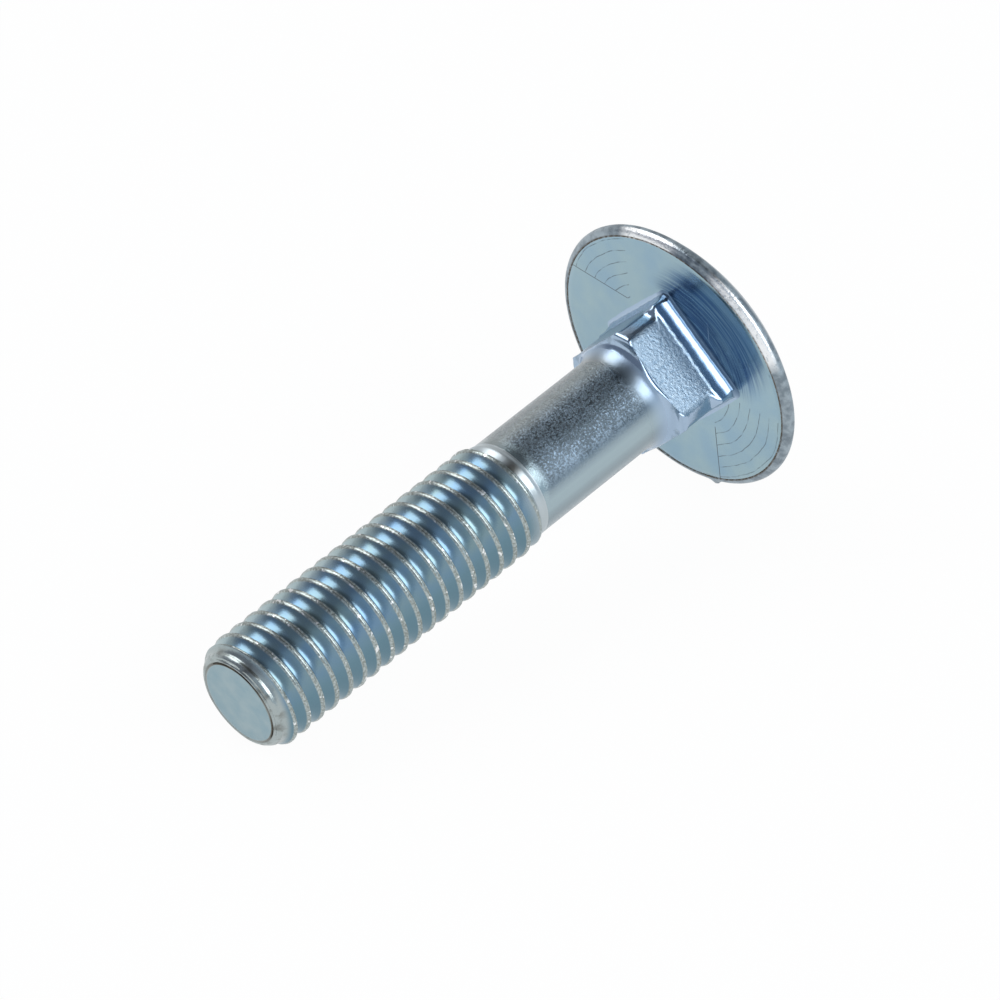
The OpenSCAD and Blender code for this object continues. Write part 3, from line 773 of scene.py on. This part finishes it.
def paper_floor():
    """Smooth white paper, which shows as near white with the bolt's soft shadow on it."""
    material = bpy.data.materials.new("white_paper_floor")
    material.use_nodes = True
    tree = material.node_tree
    tree.nodes.clear()
    paper = add(tree, "ShaderNodeBsdfDiffuse", {"Color": srgb("#F4F5F6")})
    white = add(tree, "ShaderNodeEmission", {"Color": srgb("#FFFFFF"), "Strength": 1.0})
    path = add(tree, "ShaderNodeLightPath")
    mirrored = add(tree, "ShaderNodeMath",
                   {0: path.outputs["Is Glossy Ray"], 1: path.outputs["Is Transmission Ray"]},
                   operation="MAXIMUM")
    # The metal shows the floor with more of its shade than the eye does
    seen = add(tree, "ShaderNodeMath", {0: path.outputs["Is Camera Ray"], 1: 0.96}, operation="MULTIPLY")
    shown = add(tree, "ShaderNodeMath", {0: mirrored, 1: 0.7}, operation="MULTIPLY")
    share = add(tree, "ShaderNodeMath", {0: seen, 1: shown}, operation="MAXIMUM")
    mixed = add(tree, "ShaderNodeMixShader", {0: share, 1: paper, 2: white})
    add(tree, "ShaderNodeOutputMaterial", {"Surface": mixed})
    return material


floor_half = 4.0
floor_mesh = bpy.data.meshes.new("floor")
floor_mesh.from_pydata([(x * floor_half, y * floor_half, 0) for x, y in ((-1, -1), (1, -1), (1, 1), (-1, 1))],
                       [], [(0, 1, 2, 3)])
floor_mesh.materials.append(paper_floor())
floor = bpy.data.objects.new("floor", floor_mesh)
bpy.context.scene.collection.objects.link(floor)


def studio_world():
    """A plain studio: pale walls, a little darker on the far side, under a dark ceiling."""
    world = bpy.data.worlds.new("studio")
    world.use_nodes = True
    tree = world.node_tree
    tree.nodes.clear()
    ray = add(tree, "ShaderNodeTexCoord").outputs["Generated"]
    heading = add(tree, "ShaderNodeSeparateXYZ", {0: ray})
    far = add(tree, "ShaderNodeMapRange", {0: heading.outputs["Y"], 1: -0.35, 2: 0.5},
              interpolation_type="SMOOTHSTEP")
    walls = add(tree, "ShaderNodeMix", {0: far, 6: (0.6, 0.685, 0.765, 1), 7: (0.66, 0.655, 0.66, 1)},
                data_type="RGBA")
    high = add(tree, "ShaderNodeMapRange", {0: heading.outputs["Z"], 1: 0.5, 2: 0.92},
               interpolation_type="SMOOTHSTEP")
    sky = add(tree, "ShaderNodeMix", {0: high, 6: walls, 7: (0.1, 0.105, 0.115, 1)}, data_type="RGBA")
    # Past the point of the bolt the studio is open and dark, by the camera it's half dark,
    # and beside the camera a pale screen stands
    for direction, edge, full, shade in (((-0.75, 0.433, 0.5), 0.68, 0.88, (0.23, 0.25, 0.3, 1)),
                                         ((-0.567, -0.676, 0.469), 0.88, 0.98, (0.46, 0.53, 0.62, 1)),
                                         ((0.4, -0.666, 0.629), 0.93, 0.985, (0.9, 0.95, 1.0, 1))):
        patch = towards(tree, ray, direction, {1: edge, 2: full}, interpolation_type="SMOOTHSTEP")
        sky = add(tree, "ShaderNodeMix", {0: patch, 6: sky, 7: shade}, data_type="RGBA")
    background = add(tree, "ShaderNodeBackground", {"Color": sky, "Strength": 1.0})
    add(tree, "ShaderNodeOutputWorld", {"Surface": background})
    return world


bpy.context.scene.world = studio_world()


def softbox(name, azimuth, elevation, roll, distance, width, height, radiance):
    """A rectangular lamp that faces the bolt; radiance is what a mirror would show of it."""
    lamp = bpy.data.lights.new(name, "AREA")
    lamp.shape = "RECTANGLE"
    lamp.size, lamp.size_y = width, height
    lamp.energy = radiance * math.pi * width * height
    a, e = math.radians(azimuth), math.radians(elevation)
    outwards = Vector((math.cos(e) * math.cos(a), math.cos(e) * math.sin(a), math.sin(e)))
    holder = bpy.data.objects.new(name, lamp)
    holder.location = outwards * distance
    turned = outwards.to_track_quat("Z", "Y") @ Quaternion((0, 0, 1), math.radians(roll))
    holder.rotation_euler = turned.to_euler()
    bpy.context.scene.collection.objects.link(holder)


# Degrees, then metres
softbox("key_softbox", azimuth=-92, elevation=40, roll=0, distance=0.75,
        width=0.64, height=0.48, radiance=3.0)
softbox("fill_softbox", azimuth=107, elevation=49, roll=-17, distance=0.75,
        width=0.7, height=0.42, radiance=2.6)

# The camera stands where the photograph was taken from, with a long lens
camera = bpy.data.objects.new("camera", bpy.data.cameras.new("camera"))
camera.data.sensor_width = 36
camera.data.lens = 180
camera.data.clip_start = 0.01
camera.location = (-0.18728, -0.18062, 0.19606)
camera.rotation_euler = Vector((0.58519, 0.56012, -0.58636)).to_track_quat("-Z", "Y").to_euler()
bpy.context.scene.collection.objects.link(camera)
bpy.context.scene.camera = camera
bpy.context.scene.view_settings.view_transform = "Standard"

bpy.context.view_layer.update()
